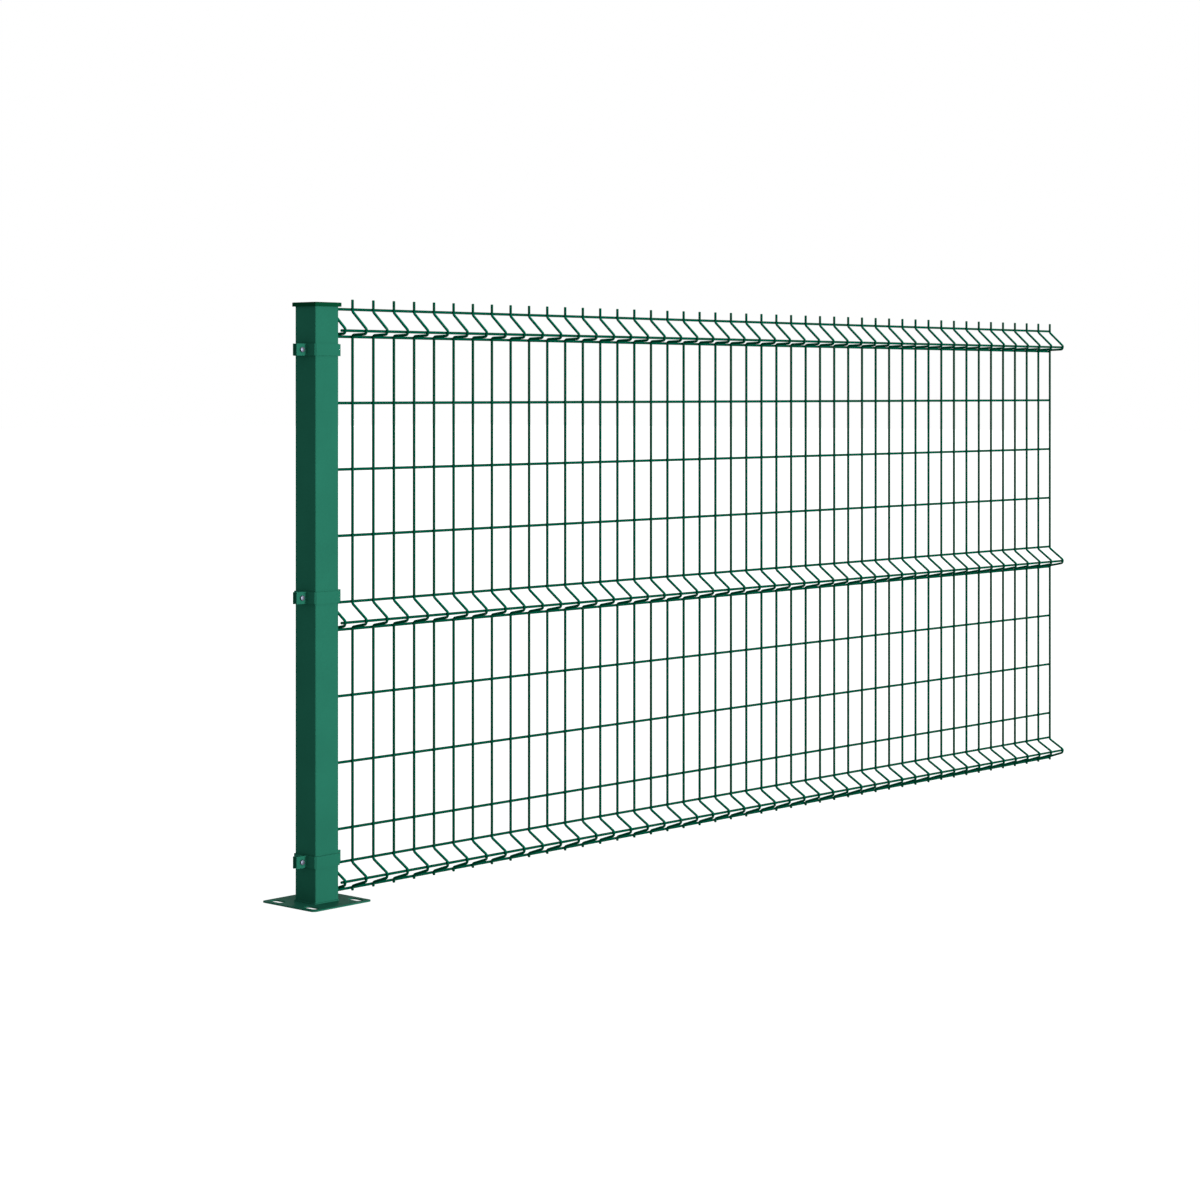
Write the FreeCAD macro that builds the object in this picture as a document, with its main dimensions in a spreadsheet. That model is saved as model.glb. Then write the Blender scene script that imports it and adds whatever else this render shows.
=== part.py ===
import FreeCAD, Part
import os
import Sketcher

# One bay of folded welded mesh fencing: a square post on a slotted base plate, three pairs of clamps
# and one mesh panel. The origin is at the middle of the base plate's underside, +Z is up and +X runs
# along the panel, away from the post. The folds of the mesh point to -Y.

os.makedirs("parts", exist_ok=True)
doc = FreeCAD.newDocument("mesh_fence")
sheet = doc.addObject("Spreadsheet::Sheet", "sizes")

# Sizes that can be set by themselves, in millimetres
given = [
    # base plate, post and cap
    ("plate_side", 163), ("plate_sheet", 3), ("plate_round", 9),
    ("slot_across", 18), ("slot_long", 38), ("slot_from_side", 20), ("slot_from_front", 29),
    ("post_side", 64), ("post_wall", 2), ("post_round", 2.5), ("weld_leg", 3), ("weld_slope", 2.4),
    ("cap_overhang", 4.2), ("cap_rim", 8.6), ("cap_seat", 5), ("cap_play", 0.4), ("cap_bevel", 0.8),
    ("cap_above", 12.3),
    # mesh
    ("wire", 6), ("wire_bite", 0.8), ("pitch", 60), ("cell", 139.8), ("short_cell", 70),
    ("post_gap", 8.3), ("ground_gap", 12.2), ("barb", 21), ("stub", 5.5), ("over_left", 7),
    ("over_right", 5), ("joint_off", 20),
    ("fold_high", 57.7), ("fold_reach", 43), ("fold_flat", 9.8), ("fold_lean", 1), ("bend_off", 4),
    ("low_tip_drop", 33.2), ("mid_tip_drop", 39.2), ("high_tip_drop", 46.1), ("tip_bend_drop", 1.3),
    # clamps
    ("clamp_sheet", 3), ("clamp_high", 25), ("clamp_play", 0.1), ("bend_in", 1.5), ("ear_long", 25.9),
    ("bolt_hole", 6.6), ("bolt_in", 11.9), ("top_clamp_below", 28.7), ("clamp_over_wire", 0.6),
]

# How many there are of what repeats
counts = [("upright_count", 47), ("upper_cell_count", 4), ("lower_cell_count", 3)]

# Sizes that follow from the ones above
worked = [
    ("slot_side", "=plate_side / 2 - slot_from_side"),
    ("slot_ahead", "=plate_side / 2 - slot_from_front"),
    ("low_wire", "=plate_sheet + ground_gap"),
    ("low_fold_top", "=low_wire + fold_high"),
    ("mid_wire", "=low_fold_top + short_cell + lower_cell_count * cell"),
    ("mid_fold_top", "=mid_wire + fold_high"),
    ("high_wire", "=mid_fold_top + upper_cell_count * cell"),
    ("high_fold_top", "=high_wire + fold_high"),
    ("first_wire", "=post_side / 2 + post_gap"),
    ("panel_run", "=(upright_count - 1) * pitch"),
    ("wire_front", "=wire * (sqrt(3) - 1) / 2"),
    ("line_back", "=wire - wire_bite"),
    ("tip_wire_ahead", "=fold_reach - line_back"),
    ("cap_top", "=high_fold_top + cap_above"),
    ("post_top", "=cap_top - cap_rim + cap_seat"),
    ("cap_half", "=post_side / 2 + cap_overhang"),
    ("seat_half", "=post_side / 2 + cap_play"),
    ("weld_half", "=post_side / 2 + weld_leg"),
    ("clamp_in", "=post_side / 2 + clamp_play"),
    ("clamp_out", "=clamp_in + clamp_sheet"),
    ("bend_out", "=bend_in + clamp_sheet * (2 - sqrt(2))"),
    ("hole_half", "=bolt_hole / 2"),
    ("hole_flat", "=hole_half * (sqrt(2) - 1)"),
    ("ear_end", "=clamp_out + ear_long"),
    ("ear_bolt", "=clamp_out + bolt_in"),
    ("ear_face", "=wire / 2"),
    ("ear_back", "=ear_face + clamp_sheet"),
    ("clamp_lift", "=wire / 2 + clamp_over_wire + clamp_high / 2"),
    ("low_clamp", "=low_fold_top + clamp_lift"),
    ("mid_clamp", "=mid_fold_top + clamp_lift"),
    ("high_clamp", "=high_wire - top_clamp_below"),
]

for row, (name, value) in enumerate(given + counts + worked, 1):
    sheet.set("A%d" % row, name)
    sheet.set("B%d" % row, str(value))
    sheet.setAlias("B%d" % row, name)
doc.recompute()
doc.recompute()


def bind(thing, what, expression):
    thing.setExpression(what, expression)


def new_body(label):
    body = doc.addObject("PartDesign::Body", label)
    body.Label = label
    return body


def base(body, role):
    return [part for part in body.Origin.OriginFeatures if part.Role == role][0]


def new_sketch(body, name, role, off=None):
    """A sketch on one of the body's base planes, moved along the plane's normal."""
    sketch = body.newObject("Sketcher::SketchObject", body.Label + "_" + name)
    sketch.AttachmentSupport = [(base(body, role), "")]
    sketch.MapMode = "FlatFace"
    if off:
        bind(sketch, "AttachmentOffset.Base.z", off)
    return sketch


def hold(sketch, line, end, across, up):
    """Holds one point of a sketch at its distances from the sketch's origin."""
    for kind, distance in (("DistanceX", across), ("DistanceY", up)):
        guess = float(sketch.evalExpression(distance))
        index = sketch.addConstraint(Sketcher.Constraint(kind, -1, 1, line, end, guess))
        bind(sketch, "Constraints[%d]" % index, distance)


def draw(sketch, corners, closed=True):
    """Straight lines through the corners, each corner held at its named distances."""
    spots = []
    for across, up in corners:
        spot = FreeCAD.Vector(float(sketch.evalExpression(across)), float(sketch.evalExpression(up)), 0)
        spots.append(spot)
    first = sketch.GeometryCount
    ends = spots[1:] + spots[:1] if closed else spots[1:]
    for start, end in zip(spots, ends):
        sketch.addGeometry(Part.LineSegment(start, end), False)
    count = len(ends)
    for number in range(count):
        if closed or number < count - 1:
            after = first + (number + 1) % count
            sketch.addConstraint(Sketcher.Constraint("Coincident", first + number, 2, after, 1))
        hold(sketch, first + number, 1, *corners[number])
    if not closed:
        hold(sketch, first + count - 1, 2, *corners[-1])


def square(sketch, half):
    draw(sketch, [("-" + half, "-" + half), (half, "-" + half), (half, half), ("-" + half, half)])


def line_section(sketch, across, up):
    """A line wire's four-sided section, with an edge towards the uprights that it crosses."""
    half = "sizes.wire / 2"
    draw(sketch, [(across, up + " - " + half), (across + " + " + half, up),
                  (across, up + " + " + half), (across + " - " + half, up)])


def upright_section(sketch, across):
    """An upright's three-sided section, as wide as the wire, with an edge towards the line wires."""
    half, front = "sizes.wire / 2", "-sizes.wire_front"
    draw(sketch, [(across + " - " + half, front), (across + " + " + half, front), (across, half)])


def eight_sided(sketch, across):
    """A bolt hole with eight flats, as wide across them as the hole."""
    ring = [("hole_half", "hole_flat"), ("hole_flat", "hole_half"), ("-hole_flat", "hole_half"),
            ("-hole_half", "hole_flat"), ("-hole_half", "-hole_flat"), ("-hole_flat", "-hole_half"),
            ("hole_flat", "-hole_half"), ("hole_half", "-hole_flat")]
    corners = []
    for side, up in ring:
        side = side.replace("hole", "sizes.hole")
        up = up.replace("hole", "sizes.hole")
        corners.append((across + " + " + side, up))
    draw(sketch, corners)


def pad(body, name, sketch, length):
    solid = body.newObject("PartDesign::Pad", body.Label + "_" + name)
    solid.Profile = sketch
    bind(solid, "Length", length)
    doc.recompute()
    return solid


def cut_through(body, name, sketch):
    hole = body.newObject("PartDesign::Pocket", body.Label + "_" + name)
    hole.Profile = sketch
    hole.Type = "ThroughAll"
    hole.Midplane = True
    doc.recompute()
    return hole


def edges_up(feature, spots=None):
    """Names of a solid's vertical edges: all of them, or those that stand at the given spots."""
    names = []
    for number, edge in enumerate(feature.Shape.Edges, 1):
        low, high = edge.Vertexes[0].Point, edge.Vertexes[-1].Point
        if abs(low.x - high.x) > 0.01 or abs(low.y - high.y) > 0.01 or abs(low.z - high.z) < 0.01:
            continue
        if spots is None or any(abs(low.x - x) + abs(low.y - y) < 0.02 for x, y in spots):
            names.append("Edge%d" % number)
    return names


def rounded(body, name, feature, edges, radius):
    bend = body.newObject("PartDesign::Fillet", body.Label + "_" + name)
    bend.Base = (feature, edges)
    bind(bend, "Radius", radius)
    doc.recompute()
    return bend


def bevelled(body, name, feature, edges, bevel):
    slope = body.newObject("PartDesign::Chamfer", body.Label + "_" + name)
    slope.Base = (feature, edges)
    bind(slope, "Size", bevel)
    doc.recompute()
    return slope


def top_edges(feature, height, within):
    """Names of the edges at a height that lie further out than the given half width."""
    names = []
    for number, edge in enumerate(feature.Shape.Edges, 1):
        middle = edge.CenterOfMass
        if middle.z > height - 0.01 and max(abs(middle.x), abs(middle.y)) > within + 0.01:
            names.append("Edge%d" % number)
    return names


# Base plate, with four slots that run across the panel's line

plate = new_body("base_plate")
outline = new_sketch(plate, "outline", "XY_Plane")
square(outline, "sizes.plate_side / 2")
slab = pad(plate, "slab", outline, "sizes.plate_sheet")
slab = rounded(plate, "corners", slab, edges_up(slab), "sizes.plate_round")

slot = new_sketch(plate, "slot", "XY_Plane")
x, y = sheet.slot_side, sheet.slot_ahead
radius = sheet.slot_across / 2
half = sheet.slot_long / 2 - radius
up = FreeCAD.Vector(0, 0, 1)
top, bottom = FreeCAD.Vector(x, y + half, 0), FreeCAD.Vector(x, y - half, 0)
slot.addGeometry(Part.ArcOfCircle(Part.Circle(top, up, radius), 0, 3.14159265), False)
slot.addGeometry(Part.ArcOfCircle(Part.Circle(bottom, up, radius), 3.14159265, 6.2831853), False)
slot.addGeometry(Part.LineSegment(top - FreeCAD.Vector(radius, 0, 0), bottom - FreeCAD.Vector(radius, 0, 0)))
slot.addGeometry(Part.LineSegment(bottom + FreeCAD.Vector(radius, 0, 0), top + FreeCAD.Vector(radius, 0, 0)))
for ends in ((0, 2, 2, 1), (2, 2, 1, 1), (1, 2, 3, 1), (3, 2, 0, 1)):
    slot.addConstraint(Sketcher.Constraint("Tangent", *ends))
index = slot.addConstraint(Sketcher.Constraint("Radius", 0, radius))
bind(slot, "Constraints[%d]" % index, "sizes.slot_across / 2")
hold(slot, 0, 3, "sizes.slot_side", "sizes.slot_ahead + (sizes.slot_long - sizes.slot_across) / 2")
hold(slot, 1, 3, "sizes.slot_side", "sizes.slot_ahead - (sizes.slot_long - sizes.slot_across) / 2")
slot_cut = cut_through(plate, "slot_cut", slot)

slots = plate.newObject("PartDesign::MultiTransform", "four_slots")
slots.Originals = [slot_cut]
mirrors = []
for role in ("YZ_Plane", "XZ_Plane"):
    mirror = plate.newObject("PartDesign::Mirrored", "over_" + role)
    mirror.MirrorPlane = (base(plate, role), [""])
    mirrors.append(mirror)
slots.Transformations = mirrors
plate.Tip = slots
doc.recompute()

# Post: square tube that stands on the plate

post = new_body("post")
outline = new_sketch(post, "outline", "XY_Plane", "sizes.plate_sheet")
square(outline, "sizes.post_side / 2")
bar = pad(post, "bar", outline, "sizes.post_top - sizes.plate_sheet")
bar = rounded(post, "corners", bar, edges_up(bar), "sizes.post_round")
ends = []
for number, face in enumerate(bar.Shape.Faces, 1):
    if abs(abs(face.normalAt(0, 0).z) - 1) < 0.001:
        ends.append("Face%d" % number)
tube = post.newObject("PartDesign::Thickness", "post_tube")
tube.Base = (bar, ends)
tube.Reversed = True
bind(tube, "Value", "sizes.post_wall")
doc.recompute()

# Weld bead around the post's foot

weld = new_body("foot_weld")
outline = new_sketch(weld, "outline", "XY_Plane", "sizes.plate_sheet")
square(outline, "sizes.weld_half")
bead = pad(weld, "bead", outline, "sizes.weld_leg")
inside = new_sketch(weld, "inside", "XY_Plane")
square(inside, "sizes.post_side / 2")
ring = cut_through(weld, "post_opening", inside)
bead_top = sheet.plate_sheet + sheet.weld_leg
bevelled(weld, "slope", ring, top_edges(ring, bead_top, sheet.post_side / 2), "sizes.weld_slope")

# Cap: a flat lid with a rim that reaches over the post's top

cap = new_body("post_cap")
outline = new_sketch(cap, "outline", "XY_Plane", "sizes.cap_top - sizes.cap_rim")
square(outline, "sizes.cap_half")
lid = pad(cap, "lid", outline, "sizes.cap_rim")
lid = bevelled(cap, "bevel", lid, top_edges(lid, sheet.cap_top, 0), "sizes.cap_bevel")
inside = new_sketch(cap, "inside", "XY_Plane", "sizes.cap_top - sizes.cap_rim")
square(inside, "sizes.seat_half")
seat = cap.newObject("PartDesign::Pocket", "cap_seat_cut")
seat.Profile = inside
seat.Reversed = True
bind(seat, "Length", "sizes.cap_seat")
doc.recompute()

# Clamps: two bent straps around the post, one ear over the other, three times


def clamp_half(label, centre, turned):
    """The half at the front, with both ears; turned about the post, it is the half at the back."""
    body = new_body(label)
    strip = new_sketch(body, "strip", "XY_Plane", "-sizes.clamp_high / 2")
    face, back, end = "sizes.ear_face", "sizes.ear_back", "sizes.ear_end"
    inner, outer = "sizes.clamp_in", "sizes.clamp_out"
    right = [(end, "-" + face), (inner, "-" + face), (inner, "-" + inner)]
    left = [("-" + across, up) for across, up in reversed(right)]
    right_out = [(outer, "-" + outer), (outer, "-" + back), (end, "-" + back)]
    left_out = [("-" + across, up) for across, up in reversed(right_out)]
    draw(strip, right + left + left_out + right_out)
    band = pad(body, "band", strip, "sizes.clamp_high")
    inner, outer, face, back = sheet.clamp_in, sheet.clamp_out, sheet.ear_face, sheet.ear_back
    for name, spots, bevel in (
            ("inner_bends", [(inner, -inner), (-inner, -inner), (outer, -back), (-outer, -back)], "sizes.bend_in"),
            ("outer_bends", [(outer, -outer), (-outer, -outer), (inner, -face), (-inner, -face)], "sizes.bend_out")):
        band = bevelled(body, name, band, edges_up(band, spots), bevel)
    holes = new_sketch(body, "bolt_holes", "XZ_Plane")
    for place in ("sizes.ear_bolt", "-sizes.ear_bolt"):
        eight_sided(holes, place)
    cut_through(body, "bolt_cut", holes)
    bind(body, "Placement.Base.z", centre)
    if turned:
        body.Placement.Rotation = FreeCAD.Rotation(up, 180)
    doc.recompute()
    return body


clamps = []
for height in ("low", "mid", "high"):
    for side in ("front", "rear"):
        clamps.append(clamp_half("clamp_%s_%s" % (side, height), "sizes.%s_clamp" % height, side == "rear"))

# Mesh: upright wires with their folds, and line wires welded behind them


def fold(level):
    """Points of an upright's centre line through one fold, from below, and its three line wires."""
    top = "sizes.%s_fold_top" % level
    tip = "%s - sizes.%s_tip_drop" % (top, level)
    above = top + " - sizes.bend_off"
    below = top + " - sizes.fold_high + sizes.bend_off"
    tip_high = ("-(sizes.fold_reach + sizes.fold_lean)", tip + " - sizes.tip_bend_drop + sizes.fold_flat / 2")
    tip_low = ("-(sizes.fold_reach - sizes.fold_lean)", tip + " - sizes.tip_bend_drop - sizes.fold_flat / 2")
    path = [("0", below), tip_low, tip_high, ("0", above)]
    lines = [("sizes.line_back", top), ("-sizes.tip_wire_ahead", tip),
             ("sizes.line_back", top + " - sizes.fold_high")]
    return path, lines


def mesh(label, low_end, high_end, path, lines):
    body = new_body(label)
    centre = new_sketch(body, "upright_path", "YZ_Plane", "sizes.first_wire")
    draw(centre, [("0", low_end)] + path + [("0", high_end)], closed=False)
    section = new_sketch(body, "upright_section", "XY_Plane", low_end)
    upright_section(section, "sizes.first_wire")
    upright = body.newObject("PartDesign::AdditivePipe", label + "_upright")
    upright.Profile = section
    upright.Spine = (centre, [])
    upright.Transition = "Right corner"
    doc.recompute()
    ends = new_sketch(body, "line_sections", "YZ_Plane", "sizes.first_wire - sizes.over_left")
    for back, height in lines:
        line_section(ends, back, height)
    pad(body, "lines", ends, "sizes.over_left + sizes.panel_run + sizes.over_right")
    row_of = body.newObject("PartDesign::LinearPattern", label + "_uprights")
    row_of.Originals = [upright]
    row_of.Direction = (base(body, "X_Axis"), [""])
    bind(row_of, "Length", "sizes.panel_run")
    bind(row_of, "Occurrences", "sizes.upright_count")
    body.Tip = row_of
    doc.recompute()
    return body


top_path, top_lines = fold("high")
middle_path, middle_lines = fold("mid")
low_path, low_lines = fold("low")
for number in (1, 2, 3):
    top_lines.append(("sizes.line_back", "sizes.mid_fold_top + %d * sizes.cell" % number))
    low_lines.append(("sizes.line_back", "sizes.low_fold_top + sizes.short_cell + %d * sizes.cell" % (number - 1)))
middle_low = "sizes.mid_wire - sizes.joint_off"
middle_high = "sizes.mid_fold_top + sizes.joint_off"
meshes = [
    mesh("mesh_upper", middle_high, "sizes.high_fold_top + sizes.barb", top_path, top_lines),
    mesh("mesh_middle_fold", middle_low, middle_high, middle_path, middle_lines),
    mesh("mesh_lower", "sizes.low_wire - sizes.stub", middle_low, low_path, low_lines),
]

# The barb next to the cap is nipped off level with the top line wire

nip = new_sketch(meshes[0], "nipped_barb", "XZ_Plane")
left, right = "sizes.first_wire - sizes.wire", "sizes.first_wire + sizes.wire"
low_cut, high_cut = "sizes.high_fold_top + sizes.wire / 2", "sizes.high_fold_top + sizes.barb + sizes.wire"
draw(nip, [(left, low_cut), (right, low_cut), (right, high_cut), (left, high_cut)])
cut_through(meshes[0], "barb_cut", nip)

# Check every object, then write one file for each piece

for thing in doc.Objects:
    if "Invalid" in thing.State or "Error" in thing.State:
        raise RuntimeError("%s didn't recompute: %s" % (thing.Name, thing.State))
for piece in [plate, post, weld, cap] + clamps + meshes:
    shape = piece.Shape
    if shape.isNull() or not shape.isValid() or len(shape.Solids) != 1:
        raise RuntimeError("%s isn't one sound solid" % piece.Label)
    shape.exportStep("parts/%s.step" % piece.Label)
    low, high = shape.BoundBox, shape.BoundBox
    print("%-18s volume %9.0f  x %7.1f %7.1f  y %6.1f %6.1f  z %7.1f %7.1f" % (
        piece.Label, shape.Volume, low.XMin, high.XMax, low.YMin, high.YMax, low.ZMin, high.ZMax))
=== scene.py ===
# %% [markdown]
# # A folded mesh fence panel clamped to its post
#
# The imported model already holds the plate, post, cap and clamps at their real sizes, and a plain
# lattice for the mesh. This lesson dresses it: round wires with rounded bends, weld spots, bolts, a
# weld bead, and the green coat that covers almost everything.

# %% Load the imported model
import math
import bpy
import numpy as np
from mathutils import Matrix, Vector


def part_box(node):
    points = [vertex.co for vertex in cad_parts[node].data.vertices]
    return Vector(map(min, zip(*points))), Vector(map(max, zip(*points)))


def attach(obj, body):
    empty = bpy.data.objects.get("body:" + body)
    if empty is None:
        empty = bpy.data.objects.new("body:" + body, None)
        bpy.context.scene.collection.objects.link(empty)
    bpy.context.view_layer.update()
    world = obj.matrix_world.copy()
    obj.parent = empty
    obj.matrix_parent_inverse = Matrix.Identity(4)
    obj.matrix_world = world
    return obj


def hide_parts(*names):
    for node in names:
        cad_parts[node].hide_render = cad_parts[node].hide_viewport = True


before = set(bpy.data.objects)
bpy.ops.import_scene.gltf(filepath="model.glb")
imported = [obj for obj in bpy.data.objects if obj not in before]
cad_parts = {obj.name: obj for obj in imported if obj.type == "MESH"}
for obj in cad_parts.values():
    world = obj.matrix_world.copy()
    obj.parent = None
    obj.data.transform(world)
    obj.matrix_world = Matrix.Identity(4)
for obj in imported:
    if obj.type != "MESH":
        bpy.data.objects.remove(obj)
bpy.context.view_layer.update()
print("nodes:", sorted(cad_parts))

# %% [markdown]
# ## Sizes
#
# Every new piece has to lie where the solid parts are. The post, plate and clamps give their places
# through their boxes; the mesh's own sizes, such as the pitch of its wires, are written here once, in
# metres, with the same values as the solids.

# %% Sizes of the mesh
MM = 0.001
wire_r = 3 * MM                  # the coated wires are 6 mm thick, as in the solids
wire_bite = 0.8 * MM             # how deep two wires sink into each other where they are welded
pitch = 60 * MM
uprights = 47
cell = 139.8 * MM
short_cell = 70 * MM
fold_high = 57.7 * MM
fold_reach = 43 * MM
tip_drops = np.array([33.2, 39.2, 46.1]) * MM    # tip wires below their folds' tops, lowest fold first
post_gap = 8.3 * MM              # from the post's side to the first upright
ground_gap = 12.2 * MM           # from the plate's top to the lowest line wire
lower_cells, upper_cells = 3, 4
plate_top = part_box("base_plate")[1].z
post_lo, post_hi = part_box("post")
first_wire = post_hi.x + post_gap
mesh_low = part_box("mesh_lower")[0].z
mesh_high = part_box("mesh_upper")[1].z
line_ends = (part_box("mesh_upper")[0].x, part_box("mesh_upper")[1].x)
low_wire = plate_top + ground_gap
fold_tops = [low_wire + fold_high]
fold_tops.append(fold_tops[0] + short_cell + lower_cells * cell + fold_high)
fold_tops.append(fold_tops[1] + upper_cells * cell + fold_high)
wire_x = first_wire + pitch * np.arange(uprights)
print("uprights from %.3f to %.3f m" % (wire_x[0], wire_x[-1]))
print("folds topped at", np.round(fold_tops, 4))

# %% [markdown]
# ## Helpers for surfaces
#
# A wire, a bolt and a weld bead are all grids: rows along a path or a profile, columns around it. One
# helper joins the rows and columns into four-sided faces, and another puts the arrays into a mesh in
# one go, which is far quicker than adding faces one by one.

# %% Grid faces and a mesh from arrays
def grid_faces(rows, columns):
    """Faces of a grid whose columns close into a ring.

    Their corners are (r, c), (r, c+1), (r+1, c+1), (r+1, c).
    """
    r, c = np.meshgrid(np.arange(rows - 1), np.arange(columns), indexing="ij")
    after = (c + 1) % columns
    return np.stack([r * columns + c, r * columns + after,
                     (r + 1) * columns + after, (r + 1) * columns + c], axis=-1).reshape(-1, 4)


def closed_tubes(rings):
    """Points, side faces and end faces of tubes whose rings have the shape (tubes, rows, columns, 3)."""
    tubes, rows, columns = rings.shape[:3]
    start = (np.arange(tubes) * rows * columns)[:, None]
    sides = (start[:, :, None] + grid_faces(rows, columns)[None]).reshape(-1, 4)
    around = np.arange(columns)[None]
    first = start + around[:, ::-1]
    last = start + (rows - 1) * columns + around
    return rings.reshape(-1, 3), [sides, first, last]


def new_piece(name, points, face_groups, finish, replaced=(), slot="green_coating"):
    """One smooth-shaded piece from an array of points and arrays of faces, riding on the part."""
    mesh = bpy.data.meshes.new(name)
    loops = np.concatenate([group.ravel() for group in face_groups])
    sizes = np.concatenate([np.full(len(group), group.shape[1]) for group in face_groups])
    mesh.vertices.add(len(points))
    mesh.vertices.foreach_set("co", np.ascontiguousarray(points, dtype=np.float32).ravel())
    mesh.loops.add(len(loops))
    mesh.loops.foreach_set("vertex_index", loops.astype(np.int32))
    mesh.polygons.add(len(sizes))
    mesh.polygons.foreach_set("loop_start", (np.cumsum(sizes) - sizes).astype(np.int32))
    mesh.polygons.foreach_set("use_smooth", np.ones(len(sizes), dtype=bool))
    mesh.update(calc_edges=True)
    mesh.validate()
    mesh.materials.append(finish)
    piece = bpy.data.objects.new(name, mesh)
    bpy.context.collection.objects.link(piece)
    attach(piece, "root")
    if replaced:
        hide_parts(*replaced)
    print("%s: %d points, %d faces" % (name, len(points), len(sizes)))
    return piece

# %% [markdown]
# ## The powder coat
#
# Steel fencing is galvanised and then covered with a baked powder coat. Close up it is a matt green
# skin with a fine orange-peel ripple, a little uneven in shade. A noise a few millimetres wide drives
# the ripple, a broad one shifts the green, and a third makes the gloss patchy. All of them read Object
# coordinates, in metres, so they stay true to scale.
#
# The photograph shows the wires in a deeper green than the post, and the upper legs of the folds in a
# lighter one. Both are matched here by colour alone, and both are painted light: the wires have darker
# coats of their own, painted shade, though the real coat is the post's green; and the uprights' coat turns
# lighter where the surface's normal leans up, a painted highlight for light from above. Why they differ
# isn't known.

# %% Material helpers
def new_material(name):
    material = bpy.data.materials.new(name)
    material.use_nodes = True
    tree = material.node_tree
    return material, tree, tree.nodes["Principled BSDF"]


def noise(tree, per_metre, detail, rough=0.5):
    """A noise in Object coordinates with so many cells to the metre."""
    place = tree.nodes.new("ShaderNodeTexCoord")
    cloud = tree.nodes.new("ShaderNodeTexNoise")
    cloud.inputs["Scale"].default_value = per_metre
    cloud.inputs["Detail"].default_value = detail
    cloud.inputs["Roughness"].default_value = rough
    tree.links.new(place.outputs["Object"], cloud.inputs["Vector"])
    return cloud.outputs["Fac"]


def spread(tree, value, low, high):
    """Stretches the middle of a noise to the range low to high."""
    stretch = tree.nodes.new("ShaderNodeMapRange")
    stretch.inputs["From Min"].default_value = 0.3
    stretch.inputs["From Max"].default_value = 0.7
    stretch.inputs["To Min"].default_value = low
    stretch.inputs["To Max"].default_value = high
    tree.links.new(value, stretch.inputs["Value"])
    return stretch.outputs["Result"]


def blend_colours(tree, value, dark, light):
    mix = tree.nodes.new("ShaderNodeMix")
    mix.data_type = "RGBA"
    mix.inputs["A"].default_value = (*dark, 1)
    mix.inputs["B"].default_value = (*light, 1)
    tree.links.new(value, mix.inputs["Factor"])
    return mix.outputs["Result"]


def bumps(tree, shader, value, depth, strength=1.0):
    bump = tree.nodes.new("ShaderNodeBump")
    bump.inputs["Distance"].default_value = depth
    bump.inputs["Strength"].default_value = strength
    tree.links.new(value, bump.inputs["Height"])
    tree.links.new(bump.outputs["Normal"], shader.inputs["Normal"])


def upward(tree, low, high):
    """0 where the surface's normal leans up less than low, 1 where it leans up more than high."""
    surface = tree.nodes.new("ShaderNodeNewGeometry")
    parts = tree.nodes.new("ShaderNodeSeparateXYZ")
    ramp = tree.nodes.new("ShaderNodeMapRange")
    ramp.interpolation_type = "SMOOTHSTEP"
    ramp.inputs["From Min"].default_value = low
    ramp.inputs["From Max"].default_value = high
    tree.links.new(surface.outputs["Normal"], parts.inputs["Vector"])
    tree.links.new(parts.outputs["Z"], ramp.inputs["Value"])
    return ramp.outputs["Result"]


def powder_coat(name, green, gloss, patch=9, peel=450, ripple=0.02 * MM, painted_top_light=None):
    """A matt baked coat: the green varies over broad patches, the roughness over smaller ones.

    Given a lighter colour, sides that lean up fade to it: a painted highlight, as if lit from above.
    """
    material, tree, shader = new_material(name)
    dark = tuple(0.94 * c for c in green)
    light = tuple(1.06 * c for c in green)
    shade = spread(tree, noise(tree, patch, 3), 0, 1)
    colour = blend_colours(tree, shade, dark, light)
    # Painted light: sides whose normal leans up get a lighter green, as if lit from above.
    if painted_top_light:
        fade = tree.nodes.new("ShaderNodeMix")
        fade.data_type = "RGBA"
        fade.inputs["B"].default_value = (*painted_top_light, 1)
        tree.links.new(upward(tree, 0.1, 0.5), fade.inputs["Factor"])
        tree.links.new(colour, fade.inputs["A"])
        colour = fade.outputs["Result"]
    tree.links.new(colour, shader.inputs["Base Color"])
    tree.links.new(spread(tree, noise(tree, 60, 2), gloss - 0.04, gloss + 0.05), shader.inputs["Roughness"])
    shader.inputs["Specular IOR Level"].default_value = 0.001
    bumps(tree, shader, noise(tree, peel, 2), ripple)
    return material

# %% Coats of the steel and of the wires
steel_coat = powder_coat("steel_coat", (0.016, 0.131, 0.084), 0.6)
fine = {"patch": 14, "peel": 700, "ripple": 0.004 * MM}
# Both wire coats are darker copies of the post's coat, the uprights' darkest: painted shade on the thin
# wires, whose real coat is the same green.
line_coat = powder_coat("line_wire_coat", (0.0005, 0.065, 0.034), 0.7, **fine)
# The uprights' upward-leaning sides fade to a lighter green: painted light from above, not a colour of the
# coat.
upright_coat = powder_coat("upright_coat", (0.0004, 0.056, 0.028), 0.7,
                           painted_top_light=(0.001, 0.16, 0.09), **fine)
print("coats:", steel_coat.name, line_coat.name, upright_coat.name)

# %% [markdown]
# ## Rounded bends
#
# An upright runs straight, leans out to the front, turns back at the fold's tip and runs straight
# again. The solids give the corners of that line; a real wire is bent round a former, so each corner
# becomes an arc that is tangent to the line before and after it.

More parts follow.
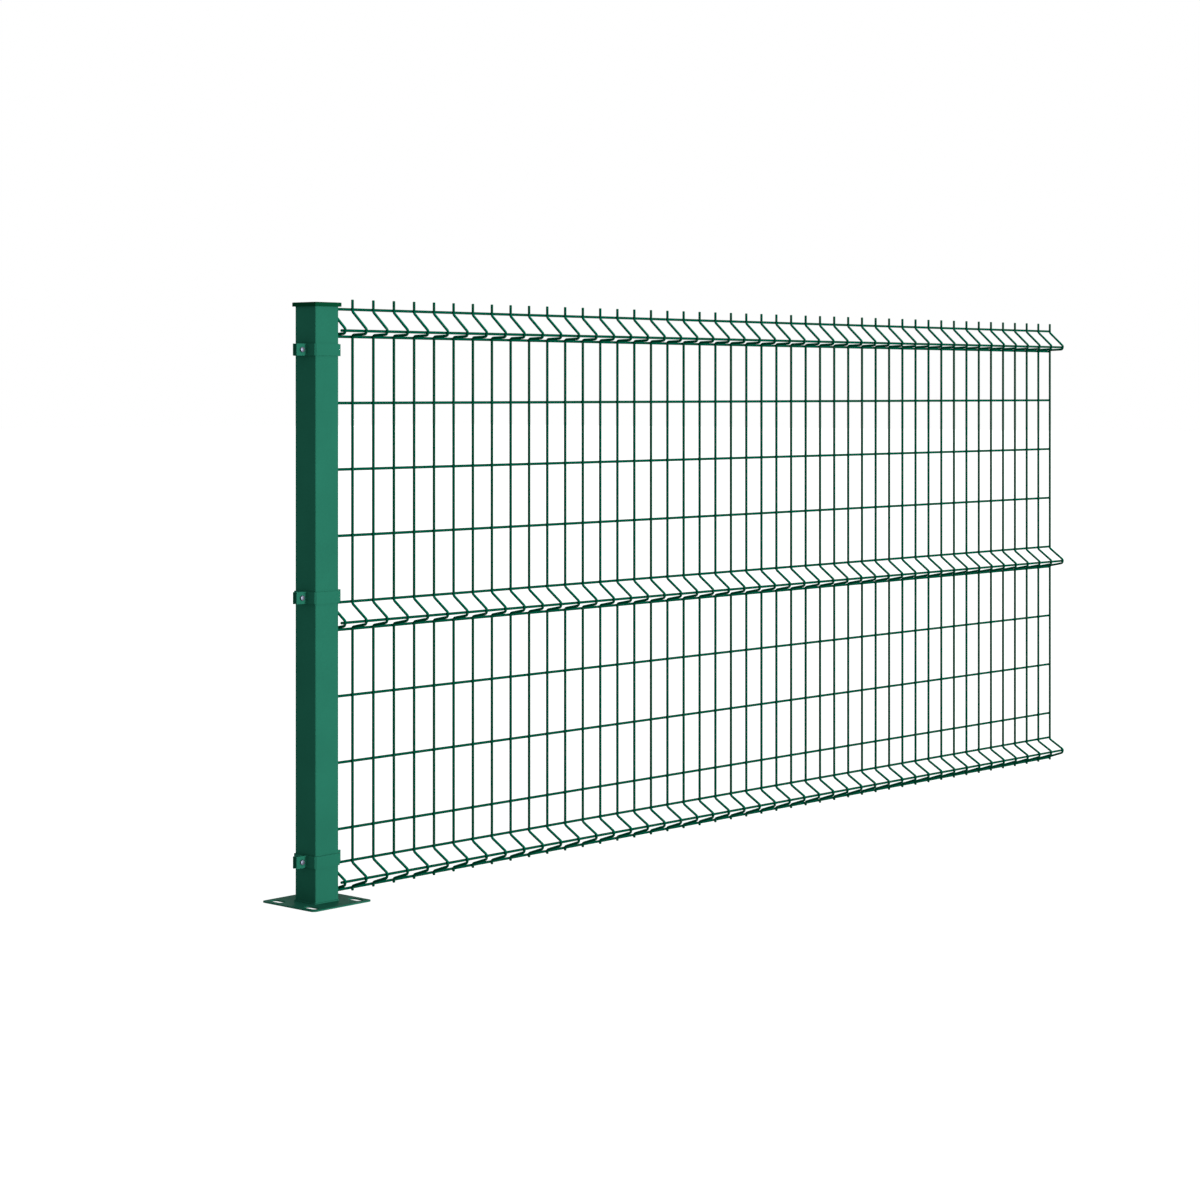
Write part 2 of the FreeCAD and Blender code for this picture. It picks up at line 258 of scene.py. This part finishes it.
# %% A line with rounded corners
def rounded_line(corners, radii, steps):
    """Points of a flat line whose inner corners are arcs.

    With the unit directions a and b before and after a corner and the turn t between them, the arc
    starts r tan(t/2) before the corner, and its points are start + r sin(u) a + r (1 - cos(u)) n for u
    from 0 to t, where n is the direction across a towards b.
    """
    corners = np.asarray(corners, float)
    pieces = [corners[:1]]
    for before, corner, after, radius in zip(corners[:-2], corners[1:-1], corners[2:], radii):
        a = (corner - before) / np.linalg.norm(corner - before)
        b = (after - corner) / np.linalg.norm(after - corner)
        turn = math.acos(float(np.clip(a @ b, -1, 1)))
        across = b - (a @ b) * a
        across = across / np.linalg.norm(across)
        u = np.linspace(0, turn, max(2, int(round(steps * turn / math.pi)) + 1))[:, None]
        start = corner - a * radius * math.tan(turn / 2)
        pieces.append(start + radius * np.sin(u) * a + radius * (1 - np.cos(u)) * across)
    pieces.append(corners[-1:])
    return np.concatenate(pieces)


def fold_corners(top, tip_drop):
    """Corners of an upright at one fold, upwards, as distances along Y and Z."""
    bend, lean, half_flat = 4 * MM, 1 * MM, 4.9 * MM
    tip = top - tip_drop - 1.3 * MM
    return [(0, top - fold_high + bend), (-fold_reach + lean, tip - half_flat),
            (-fold_reach - lean, tip + half_flat), (0, top - bend)]


bend_radii = [4.8 * MM, 5.9 * MM, 5.9 * MM, 7 * MM]
corners = [(0, mesh_low)]
for top, tip_drop in zip(fold_tops, tip_drops):
    corners.extend(fold_corners(top, tip_drop))
corners.append((0, mesh_high))
upright_line = rounded_line(corners, bend_radii * 3, 14)
print("points along an upright:", len(upright_line))

# %% [markdown]
# ## The uprights
#
# All 47 uprights share one bent line, so the wire is worked out once and set down at each place along
# the panel. Around each point of the line stands a ring of twelve points, square to the line. The cut
# ends are closed by rings that draw in, because the coat rounds their edges. The first barb is nipped
# off at the top wire, where it would stand beside the cap.

# %% Uprights as closed tubes
def with_round_ends(line, radius):
    """A line with extra points near its ends, and the radius at each point, which rounds the ends."""
    inward_first = (line[1] - line[0]) / np.linalg.norm(line[1] - line[0])
    inward_last = (line[-2] - line[-1]) / np.linalg.norm(line[-2] - line[-1])
    depth = radius * np.array([0.0, 0.12, 0.4])[:, None]
    points = np.concatenate([line[0] + depth * inward_first, line[1:-1],
                             (line[-1] + depth * inward_last)[::-1]])
    radii = np.full(len(points), radius)
    radii[:3] = radii[-3:][::-1] = radius * np.array([0.62, 0.88, 1.0])
    return points, radii


def wire_rings(points, radii, side, columns=12):
    """Rings (rows, columns, 3) around a line: point + radius (cos(a) side + sin(a) n).

    n is square to the line and to side.
    """
    along = np.gradient(points, axis=0)
    along = along / np.linalg.norm(along, axis=1, keepdims=True)
    n = np.cross(along, side)
    a = np.linspace(0, 2 * math.pi, columns, endpoint=False)[None, :, None]
    ring = np.cos(a) * side + np.sin(a) * n[:, None]
    return points[:, None] + radii[:, None, None] * ring


line_3d = np.column_stack([np.zeros(len(upright_line)), upright_line])
points, radii = with_round_ends(line_3d, wire_r)
one_upright = wire_rings(points, radii, np.array([1.0, 0, 0]))
places = np.zeros((uprights, 1, 1, 3))
places[:, 0, 0, 0] = wire_x
rings = one_upright[None] + places
rings[0, -3:, :, 2] -= mesh_high - (fold_tops[-1] + wire_r)
all_uprights = closed_tubes(rings)
new_piece("mesh_uprights", *all_uprights, upright_coat,
          replaced=("mesh_upper", "mesh_middle_fold", "mesh_lower"), slot="coated_wire")

# %% [markdown]
# ## The line wires
#
# Fifteen straight wires run along the panel behind the uprights: three at each fold, one of them
# inside the fold's tip, and three in each field between. They overlap the uprights by the bite of the
# weld.

# %% Line wires
back = 2 * wire_r - wire_bite
heights = []
for top, tip_drop in zip(fold_tops, tip_drops):
    heights += [(back, top), (-fold_reach + back, top - tip_drop), (back, top - fold_high)]
for number in range(lower_cells):
    heights.append((back, fold_tops[0] + short_cell + number * cell))
    heights.append((back, fold_tops[1] + (number + 1) * cell))
heights = np.array(heights)

ends = np.array([[line_ends[0], 0, 0], [(line_ends[0] + line_ends[1]) / 2, 0, 0],
                 [line_ends[1], 0, 0]])
points, radii = with_round_ends(ends, wire_r)
one_line = wire_rings(points, radii, np.array([0.0, 1, 0]))
places = np.zeros((len(heights), 1, 1, 3))
places[:, 0, 0, 1:] = heights
all_lines = closed_tubes(one_line[None] + places)
new_piece("mesh_line_wires", *all_lines, line_coat, slot="coated_wire")

# %% [markdown]
# ## Weld spots
#
# Where two wires are pressed together and welded, a little metal is squeezed out and the coat fills
# the nook, so a crossing looks like a small knot. A flattened ball of a few faces at each of the 705
# crossings is enough.

# %% Weld spots at the crossings
def balls(centres, half_sizes, rows=5, columns=8):
    """Flattened balls: centre + half sizes * (sin(v) cos(a), cos(v), sin(v) sin(a)).

    v runs from near one pole to near the other, and an end face closes each pole.
    """
    off_pole = 0.25
    v = np.linspace(off_pole, math.pi - off_pole, rows)[:, None]
    a = np.linspace(0, 2 * math.pi, columns, endpoint=False)[None]
    unit = np.stack([np.sin(v) * np.cos(a), np.cos(v) + 0 * a, np.sin(v) * np.sin(a)], axis=-1)
    return centres[:, None, None] + unit[None] * np.asarray(half_sizes)


grid_x, grid_line = np.meshgrid(wire_x, np.arange(len(heights)), indexing="ij")
spots = np.stack([grid_x, heights[grid_line, 0] - back / 2, heights[grid_line, 1]], axis=-1)
spot_balls = balls(spots.reshape(-1, 3), (3.6 * MM, 2.0 * MM, 3.6 * MM))
# The spots take the line wires' coat, with its painted shade.
new_piece("mesh_weld_spots", *closed_tubes(spot_balls), line_coat, slot="coated_wire")

# %% [markdown]
# ## Weld bead at the foot
#
# A welder lays the bead in short overlapping steps, which leaves curved ripples. The section is a
# bulging fillet between the post and the plate; its size waves a little along the way, and the wave
# lags towards the plate, which gives the ripples their curve.

# %% Rippled bead around the post
half = post_hi.x
corner_r = 2.5 * MM
leg = 3 * MM
ripple_pitch = 2.6 * MM
side_steps, corner_steps = 90, 8
quarter = np.linspace(0, math.pi / 2, corner_steps, endpoint=False)
straight = np.linspace(0, 1, side_steps, endpoint=False)
track, outward = [], []
for turn in range(4):
    c, s = math.cos(turn * math.pi / 2), math.sin(turn * math.pi / 2)
    spin = np.array([[c, -s], [s, c]])
    run = np.column_stack([np.full(side_steps, half), (half - corner_r) * (2 * straight - 1)])
    arc = np.column_stack([half - corner_r + corner_r * np.cos(quarter),
                           half - corner_r + corner_r * np.sin(quarter)])
    track += [run @ spin.T, arc @ spin.T]
    outward += [np.tile([1.0, 0.0], (side_steps, 1)) @ spin.T,
                np.column_stack([np.cos(quarter), np.sin(quarter)]) @ spin.T]
track, outward = np.concatenate(track), np.concatenate(outward)
distance = np.concatenate([[0], np.cumsum(np.linalg.norm(np.diff(track, axis=0), axis=1))])
v = np.linspace(0, 1, 7)[:, None]
angle = v * math.pi / 2
lag = 2.2 * np.sin(v * math.pi)
wave = 1 + 0.07 * np.sin(2 * math.pi * distance[None] / ripple_pitch - lag)
bulge = 0.80 + 0.1 * np.sin(2 * angle)
reach_out = leg * bulge * wave * np.sin(angle)
reach_up = leg * bulge * wave * np.cos(angle)
ring_xy = track[None] + outward[None] * reach_out[..., None]
outside = np.dstack([ring_xy, plate_top + reach_up + 0 * reach_out])
inner_heights = np.array([[plate_top - 0.2 * MM], [plate_top + leg * 0.8]])
inside = np.dstack([np.stack([track - 0.4 * MM * outward] * 2),
                    inner_heights + 0 * distance[None]])
rows = np.concatenate([outside, inside])
count = len(track)
faces = grid_faces(len(rows), count)
here, after = np.arange(count), (np.arange(count) + 1) % count
top_row = (len(rows) - 1) * count
closing = np.column_stack([top_row + here, top_row + after, after, here])
new_piece("foot_weld_bead", rows.reshape(-1, 3), [np.concatenate([faces, closing])[:, ::-1]],
          steel_coat, replaced=("foot_weld",))

# %% [markdown]
# ## Bolts, washers and nuts
#
# Each pair of clamp ears is drawn together by an M6 bolt: the hexagon head sits on the front ear, a
# washer and nut on the rear one. A hexagon is a turned shape whose radius depends on the angle: half
# the width across flats divided by the cosine of the angle from the nearest flat. Near the head's rim
# a cone cuts the corners, so the radius is the smaller of the two.

# %% Turned and six-sided shapes along Y
def turned(profile, columns=36, flats=None):
    """Closed rings along Y from rows (radius, y) in millimetres.

    With flats, the width across flats, the radius is min(radius, flats / 2 / cos(angle from flat)).
    """
    profile = np.asarray(profile, float) * MM
    a = np.linspace(0, 2 * math.pi, columns, endpoint=False)[None]
    radius = profile[:, :1] + 0 * a
    if flats:
        from_flat = (a + math.pi / 6) % (math.pi / 3) - math.pi / 6
        radius = np.minimum(radius, flats / 2 * MM / np.cos(from_flat))
    return np.stack([radius * np.cos(a), profile[:, 1:] + 0 * a, radius * np.sin(a)], axis=-1)


ear_face = np.array([0, 6 * MM, 0])    # the ears' outer faces lie so far in front and behind
shank = turned([(0.3, -8), (2.95, -8), (2.95, 13.6), (2.4, 14.2), (0.3, 14.2)])
washer_thick = 1.3
washer = turned([(3.3, 0), (5.85, 0), (6, 0.15), (6, 1.15), (5.85, washer_thick),
                 (3.3, washer_thick), (3.2, 0.6)])
head = turned([(0.2, -4), (4.5, -4), (5.2, -3.75), (6, -3.2), (6, 0), (0.2, 0)], flats=10)
nut = turned([(3, 0), (5.0, 0), (6, 0.6), (6, 4.4), (5.0, 5), (3, 5)], flats=10)
behind_washer = ear_face + np.array([0, washer_thick * MM, 0])
fasteners = [shank[None], (head - ear_face)[None], (washer + ear_face)[None],
             (nut + behind_washer)[None]]
print("fastener rows:", [f.shape[1] for f in fasteners])

# %% [markdown]
# ## Bright zinc
#
# The fasteners are the only bare metal: zinc plate over steel, pale bluish grey, with a soft sheen.

# %% Zinc finish and the fasteners in place
zinc, tree, shader = new_material("bright_zinc")
tone = spread(tree, noise(tree, 700, 3), 0, 1)
greys = blend_colours(tree, tone, (0.13, 0.14, 0.19), (0.18, 0.19, 0.25))
tree.links.new(greys, shader.inputs["Base Color"])
tree.links.new(spread(tree, noise(tree, 900, 2), 0.36, 0.5), shader.inputs["Roughness"])
shader.inputs["Metallic"].default_value = 0.85
bumps(tree, shader, noise(tree, 1500, 2), 0.01 * MM)

bolt_x = 47 * MM
for level in ("low", "mid", "high"):
    lo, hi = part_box("clamp_front_" + level)
    centre_z = (lo.z + hi.z) / 2
    points, groups, start = [], [], 0
    for side in (-1, 1):
        for rings in fasteners:
            p, faces = closed_tubes(rings + np.array([side * bolt_x, 0, centre_z]))
            groups += [face + start for face in faces]
            points.append(p)
            start += len(p)
    new_piece("clamp_bolts_" + level, np.concatenate(points), groups, zinc, slot=None)

# %% [markdown]
# ## Finishes of the solid pieces
#
# The post, plate and clamps keep their own shapes and only get the coat. The cap is a plastic moulding
# in a darker, flatter green.

# %% Cap plastic, and a coat on each solid piece
cap_plastic, tree, shader = new_material("cap_plastic")
tone = spread(tree, noise(tree, 30, 3), 0, 1)
greens = blend_colours(tree, tone, (0.001, 0.044, 0.018), (0.0013, 0.05, 0.0205))
tree.links.new(greens, shader.inputs["Base Color"])
tree.links.new(spread(tree, noise(tree, 200, 2), 0.6, 0.72), shader.inputs["Roughness"])
shader.inputs["Specular IOR Level"].default_value = 0.01
bumps(tree, shader, noise(tree, 1200, 2), 0.02 * MM)

for name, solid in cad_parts.items():
    solid.data.materials.clear()
    solid.data.materials.append(cap_plastic if name == "post_cap" else steel_coat)
print("coated:", len(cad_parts))

# %% [markdown]
# ## Floor, light and camera
#
# A pale floor and a white surround leave the fence on white. The key lamp is a far one, nearly level
# and straight in front of the panel, so the post's front is light, and its left side and the plate's
# top keep only the surround's soft light. A weaker lamp behind does the same for the back.

# %% Pale floor
def any_ray(tree, *kinds):
    """1 where a ray is of any of these kinds, such as Is Camera Ray."""
    rays = tree.nodes.new("ShaderNodeLightPath")
    seen = rays.outputs[kinds[0]]
    for kind in kinds[1:]:
        either = tree.nodes.new("ShaderNodeMath")
        either.operation = "MAXIMUM"
        tree.links.new(seen, either.inputs[0])
        tree.links.new(rays.outputs[kind], either.inputs[1])
        seen = either.outputs["Value"]
    return seen


floor_mesh = bpy.data.meshes.new("floor")
side, depth = 60.0, -0.3 * MM
floor_mesh.from_pydata([(-side, -side, depth), (side, -side, depth), (side, side, depth),
                        (-side, side, depth)], [], [(0, 1, 2, 3)])
floor = bpy.data.objects.new("floor", floor_mesh)
bpy.context.collection.objects.link(floor)
pale, tree, shader = new_material("pale_floor")
shader.inputs["Base Color"].default_value = (0.8, 0.8, 0.8, 1)
shader.inputs["Roughness"].default_value = 0.9
shader.inputs["Specular IOR Level"].default_value = 0.0
glow = tree.nodes.new("ShaderNodeEmission")
glow.inputs["Strength"].default_value = 0.72
both = tree.nodes.new("ShaderNodeAddShader")
pick = tree.nodes.new("ShaderNodeMixShader")
output = tree.nodes["Material Output"]
tree.links.new(any_ray(tree, "Is Camera Ray", "Is Glossy Ray"), pick.inputs["Fac"])
tree.links.new(shader.outputs["BSDF"], both.inputs[0])
tree.links.new(glow.outputs["Emission"], both.inputs[1])
tree.links.new(shader.outputs["BSDF"], pick.inputs[1])
tree.links.new(both.outputs["Shader"], pick.inputs[2])
tree.links.new(pick.outputs["Shader"], output.inputs["Surface"])
floor_mesh.materials.append(pale)

# %% White surround
world = bpy.data.worlds.new("surround")
bpy.context.scene.world = world
world.use_nodes = True
tree = world.node_tree
tree.nodes.clear()
soft = tree.nodes.new("ShaderNodeBackground")
soft.inputs["Strength"].default_value = 0.45
white = tree.nodes.new("ShaderNodeBackground")
white.inputs["Strength"].default_value = 1.0
for background in (soft, white):
    background.inputs["Color"].default_value = (1, 1, 1, 1)
pick = tree.nodes.new("ShaderNodeMixShader")
out = tree.nodes.new("ShaderNodeOutputWorld")
tree.links.new(any_ray(tree, "Is Camera Ray", "Is Glossy Ray", "Is Transmission Ray"),
               pick.inputs["Fac"])
tree.links.new(soft.outputs["Background"], pick.inputs[1])
tree.links.new(white.outputs["Background"], pick.inputs[2])
tree.links.new(pick.outputs["Shader"], out.inputs["Surface"])

# %% Key lamp
def far_lamp(name, towards, strength, spread_degrees):
    """A lamp so far off that its light is even along the fence; towards points from fence to lamp."""
    light = bpy.data.lights.new(name, "SUN")
    light.energy = strength
    light.angle = math.radians(spread_degrees)
    holder = bpy.data.objects.new(name, light)
    holder.rotation_euler = Vector(towards).to_track_quat("Z", "Y").to_euler()
    bpy.context.collection.objects.link(holder)


far_lamp("key", (0.12, -0.98, 0.06), 3.65, 12)
far_lamp("back", (0.74, 0.67, 0.03), 2.2, 12)

# %% Camera
turn = math.radians(47.85)
picture = 1200                   # pixels along each side of the photograph
focal, horizon = 2658, 392.6     # its focal length, and its horizon below the top, in those pixels
camera_data = bpy.data.cameras.new("camera")
camera_data.sensor_width = 36
camera_data.lens = camera_data.sensor_width * focal / picture
camera_data.shift_y = -(picture / 2 - horizon) / picture
camera = bpy.data.objects.new("camera", camera_data)
right = Vector((math.cos(turn), -math.sin(turn), 0))
ahead = Vector((math.sin(turn), math.cos(turn), 0))
axes = Matrix((right, Vector((0, 0, 1)), -ahead)).transposed()
camera.matrix_world = Matrix.Translation((-3.712, -4.156, 1.0584 + plate_top)) @ axes.to_4x4()
bpy.context.collection.objects.link(camera)
bpy.context.scene.camera = camera
bpy.context.scene.view_settings.view_transform = "Standard"
